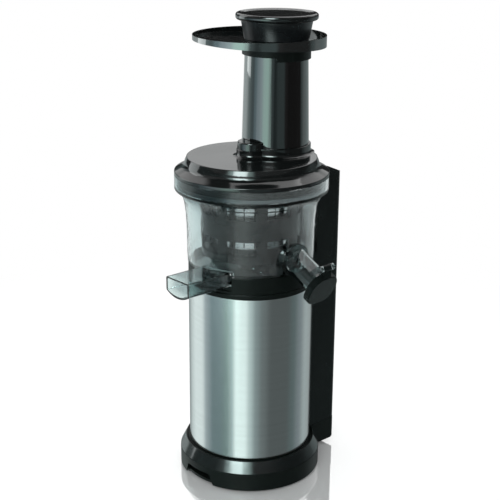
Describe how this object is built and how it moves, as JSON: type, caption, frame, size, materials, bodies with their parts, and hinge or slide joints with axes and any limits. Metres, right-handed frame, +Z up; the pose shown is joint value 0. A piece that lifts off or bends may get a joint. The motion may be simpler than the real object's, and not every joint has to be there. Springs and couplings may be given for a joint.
{
  "type": "cold press juicer",
  "caption": "Upright cold press juicer with a steel motor unit, rear column, clear juicing bowl with spout and flapped pulp chute, feed tube, hopper tray and pusher.",
  "frame": {"origin": "centre of the foot's underside, on the auger's axis", "axes": "+Z up along the auger's axis, -Y towards the juice spout, +X towards the pulp chute, +Y towards the rear column"},
  "size_m": [0.1694, 0.1883, 0.4275],
  "materials": {
    "black_gloss": "polished black moulding",
    "black_satin": "satin black moulding",
    "brushed_shell": "brushed sheet steel",
    "steel_parts": "machined steel",
    "cast_metal": "die-cast",
    "winding": "enamelled copper wire",
    "bronze": "sintered bronze",
    "clear_bowl": "clear moulding",
    "smoke_tube": "smoke-tinted clear moulding",
    "silicone": "food-grade silicone",
    "black_rubber": "soft black rubber",
    "nylon": "natural nylon",
    "dark_plastic": "dark grey moulding"
  },
  "bodies": {
    "motor_unit": {"base_housing": "black_gloss", "bottom_cover": "black_satin", "rubber_foot": "black_rubber", "cover_screws": "steel_parts", "motor_shell": "brushed_shell", "top_collar": "black_gloss", "column_housing": "black_gloss", "rear_cover": "black_gloss", "rear_screws": "steel_parts", "switch_frame": "black_satin", "switch_body": "black_satin", "cord_grommet": "black_rubber", "interlock_spring": "steel_parts", "interlock_switch": "black_satin", "motor_bracket": "cast_metal", "motor_bolts": "steel_parts", "motor_stator": "steel_parts", "stator_windings": "winding", "run_capacitor": "nylon", "ball_bearings": "steel_parts", "gearbox_housing": "cast_metal", "gearbox_cover": "cast_metal", "gearbox_screws": "steel_parts", "layshaft_pin": "steel_parts", "shaft_bush": "bronze", "shaft_seal": "black_rubber"},
    "power_switch": {"power_rocker": "black_satin"},
    "interlock": {"interlock_pin": "nylon"},
    "rotor": {"motor_rotor": "steel_parts", "cooling_fan": "nylon"},
    "layshaft": {"layshaft_gear": "nylon"},
    "drive": {"output_gear": "steel_parts", "drive_shaft": "steel_parts"},
    "bowl": {"juicing_bowl": "clear_bowl", "pulp_chute": "clear_bowl", "bowl_seal": "silicone", "idler_pin": "steel_parts", "chute_hinge_pin": "steel_parts", "strainer_frame": "dark_plastic", "strainer_sleeve": "steel_parts"},
    "idler": {"idler_gear": "nylon"},
    "brush": {"brush_holder": "dark_plastic", "brush_wipers": "silicone"},
    "auger": {"auger_screw": "dark_plastic", "auger_gear": "nylon", "auger_shaft": "steel_parts"},
    "flap": {"chute_cap": "dark_plastic", "chute_cap_seal": "silicone"},
    "lid_ring": {"lid_gasket": "silicone"},
    "lid": {"lid": "black_gloss", "lid_collar": "black_gloss", "lock_tab": "black_gloss", "lid_bush": "nylon", "feed_tube": "smoke_tube"},
    "tray": {"hopper_tray": "black_gloss"},
    "pusher": {"pusher_stem": "dark_plastic", "pusher_cap": "black_gloss"}
  },
  "joints": [
    {"name": "bowl_lift", "type": "slide", "parent": "motor_unit", "child": "bowl", "axis": [0, 0, 1], "range_m": [0, 0.08]},
    {"name": "auger_spin", "type": "hinge", "parent": "bowl", "child": "auger", "pos_m": [0, 0, 0.25], "axis": [0, 0, 1], "continuous": true},
    {"name": "idler_spin", "type": "hinge", "parent": "bowl", "child": "idler", "pos_m": [-0.024, 0, 0.218], "axis": [0, 0, 1], "continuous": true},
    {"name": "brush_spin", "type": "hinge", "parent": "bowl", "child": "brush", "pos_m": [0, 0, 0.24], "axis": [0, 0, 1], "continuous": true},
    {"name": "drive_spin", "type": "hinge", "parent": "motor_unit", "child": "drive", "pos_m": [0, 0, 0.2], "axis": [0, 0, 1], "continuous": true},
    {"name": "layshaft_spin", "type": "hinge", "parent": "motor_unit", "child": "layshaft", "pos_m": [-0.026, 0, 0.165], "axis": [0, 0, 1], "continuous": true},
    {"name": "rotor_spin", "type": "hinge", "parent": "motor_unit", "child": "rotor", "pos_m": [0, 0, 0.1], "axis": [0, 0, 1], "continuous": true},
    {"name": "chute_flap", "type": "hinge", "parent": "bowl", "child": "flap", "pos_m": [0.09533, 0, 0.22086], "axis": [0, -1, 0], "range_deg": [0, 75]},
    {"name": "lid_turn", "type": "hinge", "parent": "bowl", "child": "lid_ring", "pos_m": [0, 0, 0.28], "axis": [0, 0, 1], "range_deg": [0, 35]},
    {"name": "lid_lift", "type": "slide", "parent": "lid_ring", "child": "lid", "axis": [0, 0, 1], "range_m": [0, 0.06]},
    {"name": "interlock_travel", "type": "slide", "parent": "motor_unit", "child": "interlock", "axis": [0, 0, 1], "range_m": [0, 0.0025], "deforming": ["interlock_spring"]},
    {"name": "tray_lift", "type": "slide", "parent": "lid", "child": "tray", "axis": [0, 0, 1], "range_m": [0, 0.03]},
    {"name": "pusher_slide", "type": "slide", "parent": "tray", "child": "pusher", "axis": [0, 0, 1], "range_m": [0, 0.09]},
    {"name": "power_rock", "type": "hinge", "parent": "motor_unit", "child": "power_switch", "pos_m": [0, 0.0845, 0.066], "axis": [1, 0, 0], "range_deg": [-10, 10]}
  ],
  "couplings": [
    {"joint": "idler_spin", "follows": "auger_spin", "ratio": -1},
    {"joint": "brush_spin", "follows": "auger_spin", "ratio": -0.33333},
    {"joint": "drive_spin", "follows": "auger_spin", "ratio": 1},
    {"joint": "layshaft_spin", "follows": "auger_spin", "ratio": -4.2},
    {"joint": "rotor_spin", "follows": "auger_spin", "ratio": 23.1},
    {"joint": "interlock_travel", "follows": "lid_turn", "m_per_rad": 0.0040926}
  ]
}
